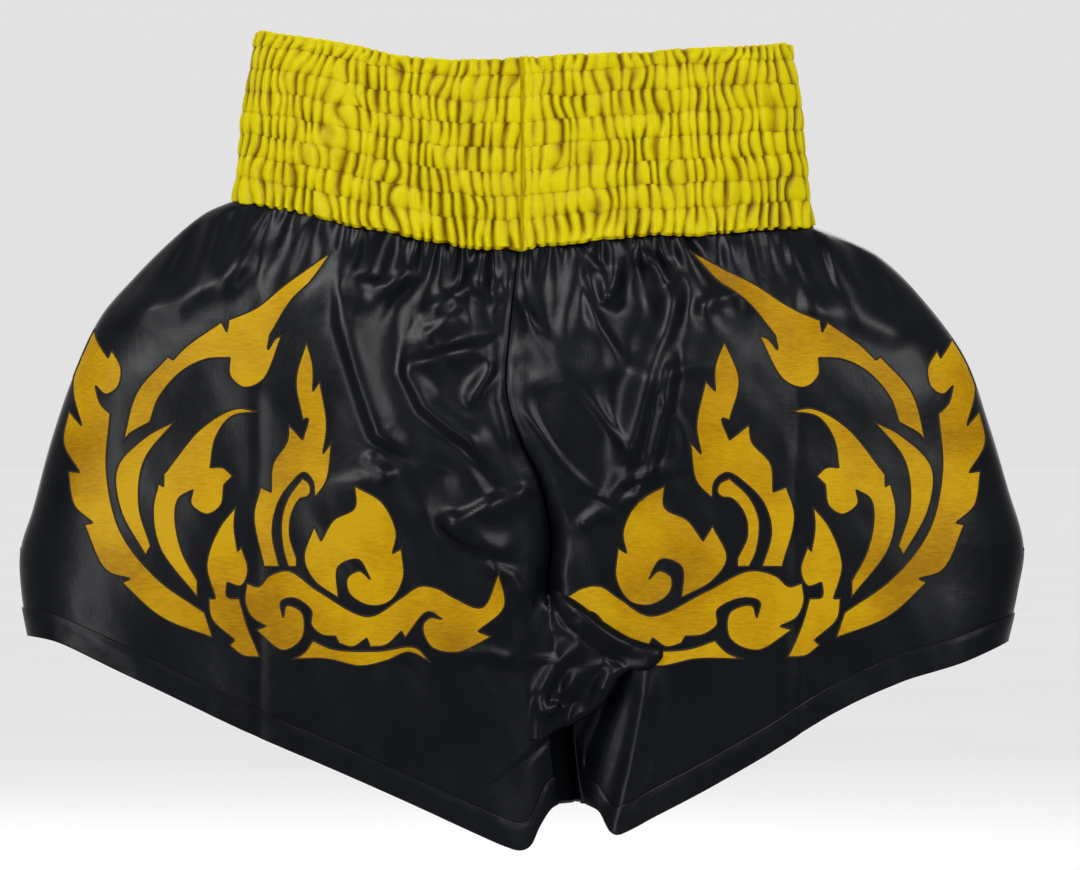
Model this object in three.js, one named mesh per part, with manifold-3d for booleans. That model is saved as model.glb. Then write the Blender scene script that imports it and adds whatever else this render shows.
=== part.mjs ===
// Boxing shorts: a pull-on pair in satin with a shirred elastic waistband, side vents and a flame-scroll
// applique on each leg, held open at the waist as a wearer holds them.
// Millimetres. +X is the wearer's left, -Y the front, +Z up. The origin is the middle of the waist opening,
// half-way up the waistband. Left and right in the names are the wearer's.
import * as THREE from "three";
import { mergeVertices } from "three/addons/utils/BufferGeometryUtils.js";
import Module from "manifold-3d";

// ---------------------------------------------------------------- driving dimensions
const BAND_HEIGHT = 110;
const HEADER_HEIGHT = 8; // the gathered edge above the waistband's top stitch line
const RUFFLE_HEIGHT = 16; // and below its lowest stitch line
const ROWS = 6; // rows between the stitch lines, each with an elastic in it
const ELASTIC_WIDTH = 10;
const ELASTIC_THICKNESS = 1;
const CASING_CLOTH = 1; // drawn thickness of the casing's gathered cloth
const CASING_PUFF = 4; // how far the casing's outer face stands off the middle of the elastic
const CASING_LINING = 3; // and its inner face
const TOP_REACH = 158; // half of the waistband's width at its top edge
const SEAM_REACH = 170; // and at its lower edge
const WAIST_DEPTH = 40; // half of the waistband, front to back
const LEG_DEPTH = 56; // half of a leg, front to back
const LEG_SQUARENESS = 3; // the power in a leg's section: 2 is an ellipse, more is flatter in front
const INNER_SQUARENESS = 5; // and on the leg's inner half, where the two legs hang face to face
const BILLOW = 110; // the cloth swells from the waist's depth to the leg's over this drop
const CLOTH = 1; // drawn thickness of the satin
const HEM_HEIGHT = 16;
const HEM_CLOTH = 1.8;
const GAP = 0.4; // between pieces that are sewn face to face
const CROTCH_Z = -251;
const CROTCH_DEPTH = 26; // half of the garment's depth at the crotch point
const PARTING_Z = -150; // the centre starts to draw in towards the crotch here
const GUSSET_SHARE = 0.03; // of a leg's width, taken by the gusset on each face
const GUSSET_SPREAD = 50; // the drop over which the gusset reaches that width
const VENT_TOP_Z = -232;
const VENT_OPENING = 12; // half of the vent's width at the hem
const VENT_SPREAD = 55; // the drop over which the vent opens to that width
const APPLIQUE_CLOTH = 0.8;
const PATTERN_MIDDLE = -4; // the two legs' patterns mirror each other about this X

// ---------------------------------------------------------------- colours and finishes
const satinBlack = { color: 0x15171a, roughness: 0.38, metalness: 0 };
const satinYellow = { color: 0xe6d400, roughness: 0.42, metalness: 0 };
const satinGold = { color: 0xc98f00, roughness: 0.5, metalness: 0.1 };
const elasticWhite = { color: 0xe9e6dc, roughness: 0.8, metalness: 0 };
const threadBlack = { color: 0x0c0c0e, roughness: 0.6, metalness: 0 };

// ---------------------------------------------------------------- the garment's outline, seen from the front
const { lerp: mix, smoothstep: smooth, clamp } = THREE.MathUtils;
const SIDES = ["right", "left"];
const SIGN = { right: -1, left: 1 };

// A smooth curve through [place, value] knots, in falling order of place.
function profile(knots) {
  const slope = (i) => {
    const a = knots[Math.max(i - 1, 0)];
    const b = knots[Math.min(i + 1, knots.length - 1)];
    return (b[1] - a[1]) / (b[0] - a[0]);
  };
  return (place) => {
    const p = clamp(place, knots[knots.length - 1][0], knots[0][0]);
    const i = Math.max(1, knots.findIndex((knot) => knot[0] <= p));
    const [x0, y0] = knots[i - 1];
    const [x1, y1] = knots[i];
    const span = x1 - x0;
    const s = (p - x0) / span;
    const r = 1 - s;
    const leaving = y0 * (1 + 2 * s) * r * r + slope(i - 1) * span * s * r * r;
    const arriving = y1 * s * s * (3 - 2 * s) - slope(i) * span * s * s * r;
    return leaving + arriving;
  };
}

// The waistband's two edges, as [X, height]: they dip at the middle and lean a little to the wearer's left.
const bandTop = profile([
  [158, 61], [103, 57], [45, 53.5], [-7, 50.5], [-36, 49.5], [-71, 53], [-117, 62], [-155, 68],
]);
const bandSeam = profile([
  [170, -44], [103, -49], [45, -52], [0, -57], [-24, -57], [-71, -50], [-129, -37], [-172, -29],
]);
// Half of the waistband's width at each height.
const bandWidth = profile([[68, 152], [32, 159], [0, 162], [-20, 164], [-45, 166]]);

// The distance from the middle to each side of the body, as [height, distance].
const OUTER = {
  right: profile([
    [-29, 168], [-36, 184], [-52, 204], [-75, 227], [-96, 245], [-125, 259],
    [-168, 274], [-209, 285], [-232, 292], [-256, 291], [-281, 286],
  ]),
  left: profile([
    [-43, 166], [-51, 187], [-61, 207], [-84, 231], [-119, 257],
    [-157, 271], [-197, 283], [-230, 292], [-256, 288], [-284, 281],
  ]),
};
// The centre seam wanders down to the crotch, and the inner legs hang together below it.
const MIDDLE = profile([
  [-57, -2], [-104, -7], [-140, -9], [-168, -1], [-191, 10], [-226, 17], [-251, 15], [-310, 22], [-377, 30],
]);
// Each hem's height, as [share of the leg's width outward from the inner leg, height].
const HEM = {
  right: profile([
    [1, -281], [0.94, -284], [0.87, -293], [0.69, -319], [0.58, -335], [0.41, -358],
    [0.26, -379], [0.14, -396], [0.095, -402], [0.07, -404], [0.05, -401], [0.035, -391], [0.015, -381], [0, -378],
  ]),
  left: profile([
    [1, -284], [0.89, -296], [0.75, -307], [0.59, -325], [0.43, -349],
    [0.29, -368], [0.17, -383], [0.09, -393], [0.06, -394], [0.03, -382], [0, -378],
  ]),
};

// Share runs from 0 at the centre seam or inner leg to 1 at the side seam.
function acrossX(side, share, z) {
  return mix(MIDDLE(z) + (SIGN[side] * GAP) / 2, SIGN[side] * OUTER[side](z), share);
}

const roundness = (s, power) => Math.max(0, 1 - Math.abs(s) ** power) ** (1 / power);

// Half of the garment's depth: one wide oval under the waistband, parting into a lobe for each leg.
function depth(side, share, z) {
  const below = Math.max(0, bandSeam(acrossX(side, share, z)) - z);
  const swell = mix(WAIST_DEPTH - CASING_LINING, LEG_DEPTH, smooth(below, 0, BILLOW));
  const parted = smooth(-z, -PARTING_Z, -CROTCH_Z);
  const oval = roundness(share, mix(2, LEG_SQUARENESS, smooth(below, 0, BILLOW)));
  const lobe = roundness(2 * share - 1, share < 0.5 ? INNER_SQUARENESS : LEG_SQUARENESS);
  const joined = 1 - smooth(-z, -CROTCH_Z, -CROTCH_Z + GUSSET_SPREAD);
  const crotch = share < 0.5 ? (CROTCH_DEPTH / LEG_DEPTH) * joined * (1 - lobe) : 0;
  const vent = VENT_OPENING * smooth(-z, -VENT_TOP_Z, -VENT_TOP_Z + VENT_SPREAD) * share ** 6;
  return swell * mix(oval, lobe + crotch, parted) + vent + GAP;
}

// The share of the leg's width that the gusset takes at each height.
const gussetShare = (z) => GUSSET_SHARE * smooth(-z, -CROTCH_Z, -CROTCH_Z + GUSSET_SPREAD);

// ---------------------------------------------------------------- solids
// Turns a closed geometry's faces outward.
function outward(geometry) {
  const at = geometry.getAttribute("position");
  const index = geometry.index.array;
  const [a, b, c] = [0, 1, 2].map(() => new THREE.Vector3());
  let volume = 0;
  for (let i = 0; i < index.length; i += 3) {
    a.fromBufferAttribute(at, index[i]);
    b.fromBufferAttribute(at, index[i + 1]);
    c.fromBufferAttribute(at, index[i + 2]);
    volume += a.dot(b.cross(c));
  }
  for (let i = 0; volume < 0 && i < index.length; i += 3) {
    [index[i + 1], index[i + 2]] = [index[i + 2], index[i + 1]];
  }
  return geometry;
}

// A closed sheet between two faces, each a function of (u, v) from 0 to 1.
function sheet(outer, inner, columns, rows) {
  const points = [];
  for (const face of [outer, inner]) {
    for (let r = 0; r <= rows; r++) {
      for (let c = 0; c <= columns; c++) points.push(face(c / columns, r / rows));
    }
  }
  const at = (face, r, c) => (face * (rows + 1) + r) * (columns + 1) + c;
  const faces = [];
  const quad = (a, b, c, d) => faces.push(a, b, c, a, c, d);
  for (let r = 0; r < rows; r++) {
    for (let c = 0; c < columns; c++) {
      quad(at(0, r, c), at(0, r + 1, c), at(0, r + 1, c + 1), at(0, r, c + 1));
      faces.push(at(1, r, c), at(1, r + 1, c + 1), at(1, r + 1, c));
      faces.push(at(1, r, c), at(1, r, c + 1), at(1, r + 1, c + 1));
    }
    quad(at(0, r, 0), at(1, r, 0), at(1, r + 1, 0), at(0, r + 1, 0));
    quad(at(0, r + 1, columns), at(1, r + 1, columns), at(1, r, columns), at(0, r, columns));
  }
  for (let c = 0; c < columns; c++) {
    quad(at(0, 0, c + 1), at(1, 0, c + 1), at(1, 0, c), at(0, 0, c));
    quad(at(0, rows, c), at(1, rows, c), at(1, rows, c + 1), at(0, rows, c + 1));
  }
  return outward(new THREE.BufferGeometry().setFromPoints(points).setIndex(faces));
}

// A ring or strip swept from one section to the next: sections is a list of equal lists of points.
function sweep(sections, closed, caps = []) {
  const size = sections[0].length;
  const faces = [];
  const count = closed ? sections.length : sections.length - 1;
  for (let i = 0; i < count; i++) {
    const next = ((i + 1) % sections.length) * size;
    for (let k = 0; k < size; k++) {
      const [a, b] = [i * size + k, i * size + ((k + 1) % size)];
      faces.push(a, b, next + ((k + 1) % size), a, next + ((k + 1) % size), next + k);
    }
  }
  const last = (sections.length - 1) * size;
  for (const [a, b, c] of caps) faces.push(a, c, b, last + a, last + b, last + c);
  return outward(new THREE.BufferGeometry().setFromPoints(sections.flat()).setIndex(faces));
}

// The face that lies the given distance inside another, along its normal; outside it when negative.
function inset(face, distance, away = (p) => new THREE.Vector3(0, p.y, 0)) {
  const STEP = 0.004;
  return (u, v) => {
    const [cu, cv] = [clamp(u, STEP, 1 - STEP), clamp(v, STEP, 1 - STEP)];
    const along = face(cu + STEP, cv).sub(face(cu - STEP, cv));
    const down = face(cu, cv + STEP).sub(face(cu, cv - STEP));
    const normal = along.cross(down).normalize();
    if (normal.dot(away(face(cu, cv))) < 0) normal.negate();
    return face(u, v).sub(normal.multiplyScalar(distance));
  };
}

// ---------------------------------------------------------------- leg panels, hems and gusset
const PANEL_COLUMNS = 12;
const PANEL_ROWS = 14;

// A leg's outer face, from the waist seam to the bottom edge. Columns crowd towards the two seams.
function legFace(side, facing) {
  return (u, v) => {
    const share = (1 - Math.cos(Math.PI * u)) / 2;
    const top = bandSeam(SIGN[side] * SEAM_REACH * share) - GAP;
    const z = mix(top, HEM[side](share), v);
    const seamed = mix(gussetShare(z), 1, share);
    return new THREE.Vector3(acrossX(side, seamed, z), facing * depth(side, seamed, z), z);
  };
}

// The part of a face between two heights of v, each a function of u.
const between = (face, from, to) => (u, v) => face(u, mix(from(u), to(u), v));

// Where a hem begins, as a share of the panel's height, with a gap to the panel above it.
function hemStart(face, gap) {
  return (u) => 1 - (HEM_HEIGHT + gap) / (face(u, 0).z - face(u, 1).z);
}

function legPanel(side, facing) {
  const whole = legFace(side, facing);
  const face = between(whole, () => 0, hemStart(whole, GAP));
  return sheet(face, inset(face, CLOTH), PANEL_COLUMNS, PANEL_ROWS);
}

function hem(side, facing) {
  const whole = legFace(side, facing);
  const face = between(whole, hemStart(whole, 0), () => 1);
  return sheet(face, inset(face, HEM_CLOTH), PANEL_COLUMNS, 1);
}

// The gusset runs from one hem, up the inner leg, over the crotch and down to the other hem.
function gusset() {
  const CROTCH_MARGIN = 4; // it stops short of the panels where they meet at a corner
  const face = (u, v) => {
    const side = v < 0.5 ? "right" : "left";
    const across = 2 * u - 1;
    const drop = Math.abs(2 * v - 1);
    const bow = Math.abs(across) ** LEG_SQUARENESS;
    const z = mix(CROTCH_Z - GAP, HEM[side](0), drop);
    const margin = mix(CROTCH_MARGIN, GAP * 2, smooth(drop, 0, 0.5));
    const half = depth(side, gussetShare(z), z) - margin;
    return new THREE.Vector3(acrossX(side, gussetShare(z) * bow, z), across * half, z);
  };
  const sheetOutward = (p) => new THREE.Vector3(MIDDLE(p.z) - p.x, 0, -1);
  return sheet(face, inset(face, CLOTH, sheetOutward), 8, 16);
}

// A short bar of zigzag thread that stops the vent from tearing upward.
function barTack(side) {
  const [THICK, LONG, HIGH] = [1, 8, 2.5];
  const x = SIGN[side] * (OUTER[side](VENT_TOP_Z) + GAP + THICK / 2);
  return new THREE.BoxGeometry(THICK, LONG, HIGH).translate(x, 0, VENT_TOP_Z);
}

// ---------------------------------------------------------------- waistband
// Angle runs from 0 at the centre front to pi at the centre back, share from 0 at the top edge to 1 at the
// lower edge, and stand is the distance out from the middle of the elastic.
function bandPoint(side, angle, share, stand) {
  const sine = SIGN[side] * Math.sin(angle);
  const z = mix(bandTop(sine * TOP_REACH), bandSeam(sine * SEAM_REACH), share);
  return new THREE.Vector3(sine * (bandWidth(z) + stand), -Math.cos(angle) * (WAIST_DEPTH + stand), z);
}

// Half of the casing, from centre front to centre back: one strip folded over at the top edge, open below.
function casing(side) {
  const SEGMENTS = 20;
  const FOLD = 0.012; // the fold's thickness, as a share of the band's height
  const SEAM_ANGLE = 0.0015;
  const [face, back] = [CASING_PUFF, -CASING_LINING];
  const section = [
    [0, face], [1, face], [1, face - CASING_CLOTH], [FOLD, face - CASING_CLOTH],
    [FOLD, back + CASING_CLOTH], [1, back + CASING_CLOTH], [1, back], [0, back],
  ];
  const sections = [];
  for (let i = 0; i <= SEGMENTS; i++) {
    const angle = mix(SEAM_ANGLE, Math.PI - SEAM_ANGLE, i / SEGMENTS);
    sections.push(section.map(([share, stand]) => bandPoint(side, angle, share, stand)));
  }
  return sweep(sections, false, [[0, 1, 2], [0, 2, 3], [0, 3, 4], [0, 4, 7], [4, 5, 6], [4, 6, 7]]);
}

// One closed loop of flat elastic, in the middle of its row.
function elasticLoop(row) {
  const SEGMENTS = 40;
  const rowHeight = (BAND_HEIGHT - HEADER_HEIGHT - RUFFLE_HEIGHT) / ROWS;
  const middle = (HEADER_HEIGHT + (row + 0.5) * rowHeight) / BAND_HEIGHT;
  const half = ELASTIC_WIDTH / BAND_HEIGHT / 2;
  const out = ELASTIC_THICKNESS / 2;
  const corners = [[middle - half, out], [middle + half, out], [middle + half, -out], [middle - half, -out]];
  const sections = [];
  for (let i = 0; i < SEGMENTS; i++) {
    const turn = (2 * Math.PI * i) / SEGMENTS;
    const side = turn < Math.PI ? "left" : "right";
    const angle = Math.min(turn, 2 * Math.PI - turn);
    sections.push(corners.map(([share, stand]) => bandPoint(side, angle, share, stand)));
  }
  return sweep(sections, true);
}

// ---------------------------------------------------------------- flame-scroll applique
// Each flame's outline is a ring of smooth strokes that meet in points and notches. A stroke starts where the
// one before it ends. It lists the points that it runs through, as [distance outward from the pattern's
// middle, height].
const FLAMES = {
  outer_leaf: [
    [[242, -110], [235, -121]], [[233, -116]], [[227, -127], [229, -138], [236, -142], [242, -137]],
    [[239, -147], [233, -153]], [[235, -186], [227, -220], [206, -247], [178, -267]], [[173, -282]],
    [[203, -270], [226, -250]], [[221, -248]], [[235, -243], [248, -217]], [[243, -216]],
    [[254, -206], [258, -186]], [[251, -187]], [[261, -170], [258, -151]], [[250, -160]],
    [[256, -138], [253, -116], [245, -100]],
  ],
  upper_arm: [
    [[132, -78], [149, -92], [165, -99]], [[166, -106]], [[169, -100]], [[189, -114], [197, -122]],
    [[200, -120]], [[218, -141], [226, -170]], [[222, -165], [210, -158]],
    [[205, -144], [192, -129], [178, -122], [164, -121]],
    [[164, -131], [156, -138], [145, -134], [134, -108]], [[138, -110], [142, -116], [141, -108]],
    [[129, -88], [117, -76], [105, -59]],
  ],
  crescent: [
    [[212, -166], [229, -184], [227, -208], [212, -235]], [[209, -229]],
    [[216, -206], [213, -180], [195, -157]],
  ],
  second_flame: [
    [[160, -150], [180, -161], [202, -188]], [[202, -195]], [[205, -193]],
    [[208, -208], [204, -230], [182, -259]], [[182, -249]],
    [[191, -232], [195, -212], [193, -202], [185, -197]],
    [[186, -205], [177, -211], [169, -206], [167, -194]], [[162, -189]], [[168, -184], [175, -184]],
    [[172, -167], [163, -155], [147, -152]],
  ],
  small_flame: [
    [[170, -219], [177, -240], [172, -259]], [[176, -259]], [[174, -271], [161, -283]], [[164, -286]],
    [[156, -292], [146, -293]], [[153, -276], [158, -259]], [[165, -258], [165, -250]],
    [[157, -252], [153, -243], [157, -229]], [[159, -232]], [[161, -218], [160, -206]],
  ],
  tall_flame: [
    [[126, -134], [122, -157]], [[119, -156], [122, -168]], [[130, -159]],
    [[131, -169], [139, -182], [140, -198]], [[146, -195]], [[150, -212], [144, -241]], [[135, -241]],
    [[139, -221], [136, -205], [129, -194], [121, -187], [116, -192], [115, -202]],
    [[108, -192], [105, -169]], [[110, -176]],
    [[108, -160], [112, -134]], [[116, -140]], [[116, -126], [120, -111]],
  ],
  inner_hook: [
    [[130, -201], [134, -214], [133, -231], [130, -241]], [[125, -241]], [[125, -236]],
    [[129, -223], [128, -211], [123, -202], [119, -201], [117, -198], [118, -193], [122, -190]],
  ],
  bud: [
    [[76, -204], [68, -221], [70, -233]], [[65, -230]],
    [[64, -248], [72, -261], [84, -263], [95, -256], [96, -247], [89, -243], [83, -248]],
    [[90, -237], [101, -241], [101, -259]], [[115, -249], [121, -236], [115, -217]], [[111, -226]],
    [[104, -214], [92, -207], [92, -194]],
  ],
  wave: [
    [[147, -252], [141, -246], [130, -243], [112, -255], [84, -269], [66, -257], [52, -249]],
    [[34, -259], [19, -264], [9, -243]], [[6, -264], [21, -278]], [[13, -281]],
    [[32, -290], [48, -287], [53, -275], [49, -270], [42, -271]], [[50, -267], [63, -282]],
    [[65, -278]], [[74, -286], [83, -287]], [[85, -282]], [[93, -287], [101, -285]], [[103, -281]],
    [[111, -280], [117, -274], [117, -266], [127, -259], [134, -261], [133, -270]],
    [[131, -263], [122, -267], [122, -282], [133, -289], [149, -277]], [[143, -275]],
    [[151, -270], [155, -261], [154, -250]],
  ],
  base_leaf: [
    [[121, -290], [116, -283]], [[104, -288], [79, -289], [57, -287], [48, -296]],
    [[61, -290], [74, -295], [89, -298], [108, -294], [128, -294]],
  ],
};

// The cloth of the left leg lies flatter, so its pattern spreads a little wider.
const spread = {
  right: (out) => out,
  left: (out) => out + mix(-6, 11, smooth(out, 95, 155)),
};

// The outline of a flame on one leg, as points in the front plane.
function flameOutline(side, strokes) {
  const place = ([out, up]) => new THREE.Vector3(PATTERN_MIDDLE + SIGN[side] * spread[side](out), up, 0);
  const points = [];
  let start = place(strokes.at(-1).at(-1));
  for (const stroke of strokes) {
    const knots = [start, ...stroke.map(place)];
    const curve = new THREE.CatmullRomCurve3(knots, false, "centripetal");
    const steps = knots.length === 2 ? 1 : 2 * (knots.length - 1);
    points.push(...curve.getPoints(steps).slice(1));
    start = knots.at(-1);
  }
  return points.map((p) => new THREE.Vector2(p.x, p.y));
}

const wasm = await Module();
wasm.setup();

function toManifold(geometry) {
  const bare = geometry.clone().deleteAttribute("normal").deleteAttribute("uv");
  const merged = mergeVertices(bare, 1e-4);
  const vertProperties = new Float32Array(merged.getAttribute("position").array);
  const triVerts = new Uint32Array(merged.index.array);
  return new wasm.Manifold(new wasm.Mesh({ numProp: 3, vertProperties, triVerts }));
}

function fromManifold(solid) {
  const mesh = solid.getMesh();
  const geometry = new THREE.BufferGeometry();
  geometry.setAttribute("position", new THREE.BufferAttribute(new Float32Array(mesh.vertProperties), 3));
  return geometry.setIndex(new THREE.BufferAttribute(new Uint32Array(mesh.triVerts), 1));
}

// A skin that lies on the outside of a front leg panel.
function appliqueSkin(side) {
  const whole = legFace(side, -1);
  const face = between(whole, () => 0, hemStart(whole, GAP));
  return toManifold(sheet(inset(face, -GAP - APPLIQUE_CLOTH), inset(face, -GAP), PANEL_COLUMNS, PANEL_ROWS));
}

// A flame cut out of that skin, straight back from the front.
function flame(side, strokes, skin) {
  const shape = new THREE.Shape(flameOutline(side, strokes));
  const block = new THREE.ExtrudeGeometry(shape, { depth: LEG_DEPTH + 20, bevelEnabled: false });
  const cut = skin.intersect(toManifold(block.rotateX(Math.PI / 2)));
  const largest = cut.decompose().reduce((a, b) => (b.volume() > a.volume() ? b : a));
  return fromManifold(largest);
}

// ---------------------------------------------------------------- assembly
const group = new THREE.Group();

function add(name, geometry, finish) {
  const material = new THREE.MeshStandardMaterial(finish);
  const mesh = new THREE.Mesh(geometry, material);
  mesh.name = name;
  group.add(mesh);
}

for (const side of SIDES) {
  add(`waistband_casing_${side}`, casing(side), satinYellow);
  add(`front_panel_${side}`, legPanel(side, -1), satinBlack);
  add(`back_panel_${side}`, legPanel(side, 1), satinBlack);
  add(`front_hem_${side}`, hem(side, -1), satinBlack);
  add(`back_hem_${side}`, hem(side, 1), satinBlack);
  add(`vent_bar_tack_${side}`, barTack(side), threadBlack);
  const skin = appliqueSkin(side);
  for (const [name, strokes] of Object.entries(FLAMES)) {
    add(`applique_${side}_${name}`, flame(side, strokes, skin), satinGold);
  }
}
for (let row = 0; row < ROWS; row++) add(`elastic_${row + 1}`, elasticLoop(row), elasticWhite);
add("crotch_gusset", gusset(), satinBlack);

export default group;
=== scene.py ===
"""Boxing shorts: black satin with a shirred yellow waistband and gold flame-scroll applique on both legs.

Shapes are worked out in millimetres in the frame of the CAD part and become metres when a mesh is made.
Lights, camera and the scales of materials are in metres.
+X is the wearer's left, -Y the front, +Z up. Left and right in the names are the wearer's.
"""
import math

import bpy
import numpy as np
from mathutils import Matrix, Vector
from mathutils.bvhtree import BVHTree
from mathutils.geometry import delaunay_2d_cdt


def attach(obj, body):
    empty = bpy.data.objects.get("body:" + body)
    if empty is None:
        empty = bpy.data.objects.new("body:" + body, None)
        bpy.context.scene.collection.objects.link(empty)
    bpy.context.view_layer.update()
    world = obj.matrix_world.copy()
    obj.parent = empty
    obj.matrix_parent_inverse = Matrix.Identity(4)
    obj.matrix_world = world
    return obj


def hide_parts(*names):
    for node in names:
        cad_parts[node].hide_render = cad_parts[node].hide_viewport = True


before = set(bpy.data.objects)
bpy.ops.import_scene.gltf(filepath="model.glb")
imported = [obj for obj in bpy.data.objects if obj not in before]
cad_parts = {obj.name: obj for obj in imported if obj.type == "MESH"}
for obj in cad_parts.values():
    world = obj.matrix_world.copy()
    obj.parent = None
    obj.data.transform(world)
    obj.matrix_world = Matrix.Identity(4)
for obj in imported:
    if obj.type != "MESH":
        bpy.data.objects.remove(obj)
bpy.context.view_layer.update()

MM = 0.001
SIDES = ("right", "left")
SIGN = {"right": -1, "left": 1}
FRONT, BACK = -1, 1
FACE_NAME = {FRONT: "front", BACK: "back"}

# ------------------------------------------------------------------ driving dimensions, as in the CAD part
BAND_HEIGHT = 110
HEADER_HEIGHT = 8
RUFFLE_HEIGHT = 16
ROWS = 6  # rows between the waistband's stitch lines
TOP_REACH = 158  # X of the ends of the waistband's top edge, and of its seam
SEAM_REACH = 170
HALF_WAIST = 162  # half of its width at the middle of its height
WAIST_DEPTH = 40
LEG_DEPTH = 56
SQUARENESS = 3
INNER_SQUARENESS = 5
BILLOW = 110
BAND_BACK = 3  # the casing's inner face lies this far inside the elastic's middle
HEM_HEIGHT = 16
GAP = 0.4
CROTCH_Z = -251
CROTCH_DEPTH = 26
PARTING_Z = -150
GUSSET_SHARE = 0.03
GUSSET_SPREAD = 50
VENT_TOP_Z = -232
VENT_OPENING = 12
VENT_SPREAD = 55
PATTERN_MIDDLE = -4


# ------------------------------------------------------------------ helpers
def mix(a, b, t):
    return a + (b - a) * t


def smooth(x, low, high):
    t = np.clip((x - low) / (high - low), 0, 1)
    return t * t * (3 - 2 * t)


def profile(knots):
    """A smooth curve through [place, value] knots, given in any order of place."""
    x, y = np.array(sorted(knots), float).T
    slope = np.empty(len(x))
    slope[1:-1] = (y[2:] - y[:-2]) / (x[2:] - x[:-2])
    slope[0] = (y[1] - y[0]) / (x[1] - x[0])
    slope[-1] = (y[-1] - y[-2]) / (x[-1] - x[-2])

    def at(place):
        p = np.clip(place, x[0], x[-1])
        i = np.clip(np.searchsorted(x, p, side="right") - 1, 0, len(x) - 2)
        h = x[i + 1] - x[i]
        s = (p - x[i]) / h
        r = 1 - s
        return (
            y[i] * (1 + 2 * s) * r * r + slope[i] * h * s * r * r
            + y[i + 1] * s * s * (3 - 2 * s) - slope[i + 1] * h * s * s * r
        )

    return at


def noise(x, y, seed, wrap=0):
    """Smooth noise from -1 to 1, one cell per unit. wrap repeats it along x every so many cells."""
    size = 128
    lattice = np.random.default_rng(seed).uniform(-1, 1, (size, size))
    x, y = np.broadcast_arrays(np.asarray(x, float), np.asarray(y, float))
    xi, yi = np.floor(x).astype(int), np.floor(y).astype(int)
    fx, fy = x - xi, y - yi
    fx, fy = fx * fx * (3 - 2 * fx), fy * fy * (3 - 2 * fy)
    columns = wrap or size
    x0, x1 = xi % columns, (xi + 1) % columns
    y0, y1 = yi % size, (yi + 1) % size
    return mix(mix(lattice[x0, y0], lattice[x1, y0], fx), mix(lattice[x0, y1], lattice[x1, y1], fx), fy)


def make_mesh(name, points, faces, materials, material_of=None, shade_smooth=True):
    """A mesh object from points in millimetres."""
    mesh = bpy.data.meshes.new(name)
    mesh.from_pydata((np.asarray(points) * MM).tolist(), [], faces)
    mesh.validate()
    for material in materials:
        mesh.materials.append(material)
    if material_of is not None:
        mesh.polygons.foreach_set("material_index", material_of)
    mesh.polygons.foreach_set("use_smooth", [shade_smooth] * len(mesh.polygons))
    obj = bpy.data.objects.new(name, mesh)
    bpy.context.scene.collection.objects.link(obj)
    return obj


def grid_faces(rows, columns, flip=False):
    """Quads of a grid of rows by columns points."""
    r, c = np.meshgrid(np.arange(rows - 1), np.arange(columns - 1), indexing="ij")
    a = (r * columns + c).ravel()
    corners = [a, a + 1, a + columns + 1, a + columns]
    if flip:
        corners.reverse()
    return np.stack(corners, 1).tolist()


def grid_object(name, points, material, flip=False):
    rows, columns = points.shape[:2]
    return make_mesh(name, points.reshape(-1, 3), grid_faces(rows, columns, flip), [material])


def thicken(obj, millimetres):
    """Gives a sheet the thickness of its cloth, inwards."""
    solid = obj.modifiers.new("cloth", "SOLIDIFY")
    solid.thickness = millimetres * MM
    solid.offset = -1
    return obj


def store_value(obj, name, values):
    """A number for each point of a mesh, which its material reads."""
    attribute = obj.data.attributes.new(name, "FLOAT", "POINT")
    attribute.data.foreach_set("value", np.asarray(values, np.float32).ravel())


# ------------------------------------------------------------------ the garment's shape
band_top = profile([
    [158, 61], [103, 57], [45, 53.5], [-7, 50.5], [-36, 49.5], [-71, 53], [-117, 62], [-155, 68],
])
band_seam = profile([
    [170, -44], [103, -49], [45, -52], [0, -57], [-24, -57], [-71, -50], [-129, -37], [-172, -29],
])
band_width = profile([[68, 152], [32, 159], [0, 162], [-20, 164], [-45, 166]])
OUTER = {
    "right": profile([
        [-29, 168], [-36, 184], [-52, 204], [-75, 227], [-96, 245], [-125, 259],
        [-168, 274], [-209, 285], [-232, 292], [-256, 291], [-281, 286],
    ]),
    "left": profile([
        [-43, 166], [-51, 187], [-61, 207], [-84, 231], [-119, 257],
        [-157, 271], [-197, 283], [-230, 292], [-256, 288], [-284, 281],
    ]),
}
MIDDLE = profile([
    [-57, -2], [-104, -7], [-140, -9], [-168, -1], [-191, 10],
    [-226, 17], [-251, 15], [-310, 22], [-377, 30],
])
HEM = {
    "right": profile([
        [1, -281], [0.94, -284], [0.87, -293], [0.69, -319], [0.58, -335], [0.41, -358], [0.26, -379],
        [0.14, -396], [0.095, -402], [0.07, -404], [0.05, -401], [0.035, -391], [0.015, -381], [0, -378],
    ]),
    "left": profile([
        [1, -284], [0.89, -296], [0.75, -307], [0.59, -325], [0.43, -349],
        [0.29, -368], [0.17, -383], [0.09, -393], [0.06, -394], [0.03, -382], [0, -378],
    ]),
}


def across(side, share, z):
    return mix(MIDDLE(z) + SIGN[side] * GAP / 2, SIGN[side] * OUTER[side](z), share)


def share_at(side, x, z):
    inner = MIDDLE(z) + SIGN[side] * GAP / 2
    return (x - inner) / (SIGN[side] * OUTER[side](z) - inner)


def roundness(s, power):
    return np.maximum(0, 1 - np.abs(s) ** power) ** (1 / power)


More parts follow.
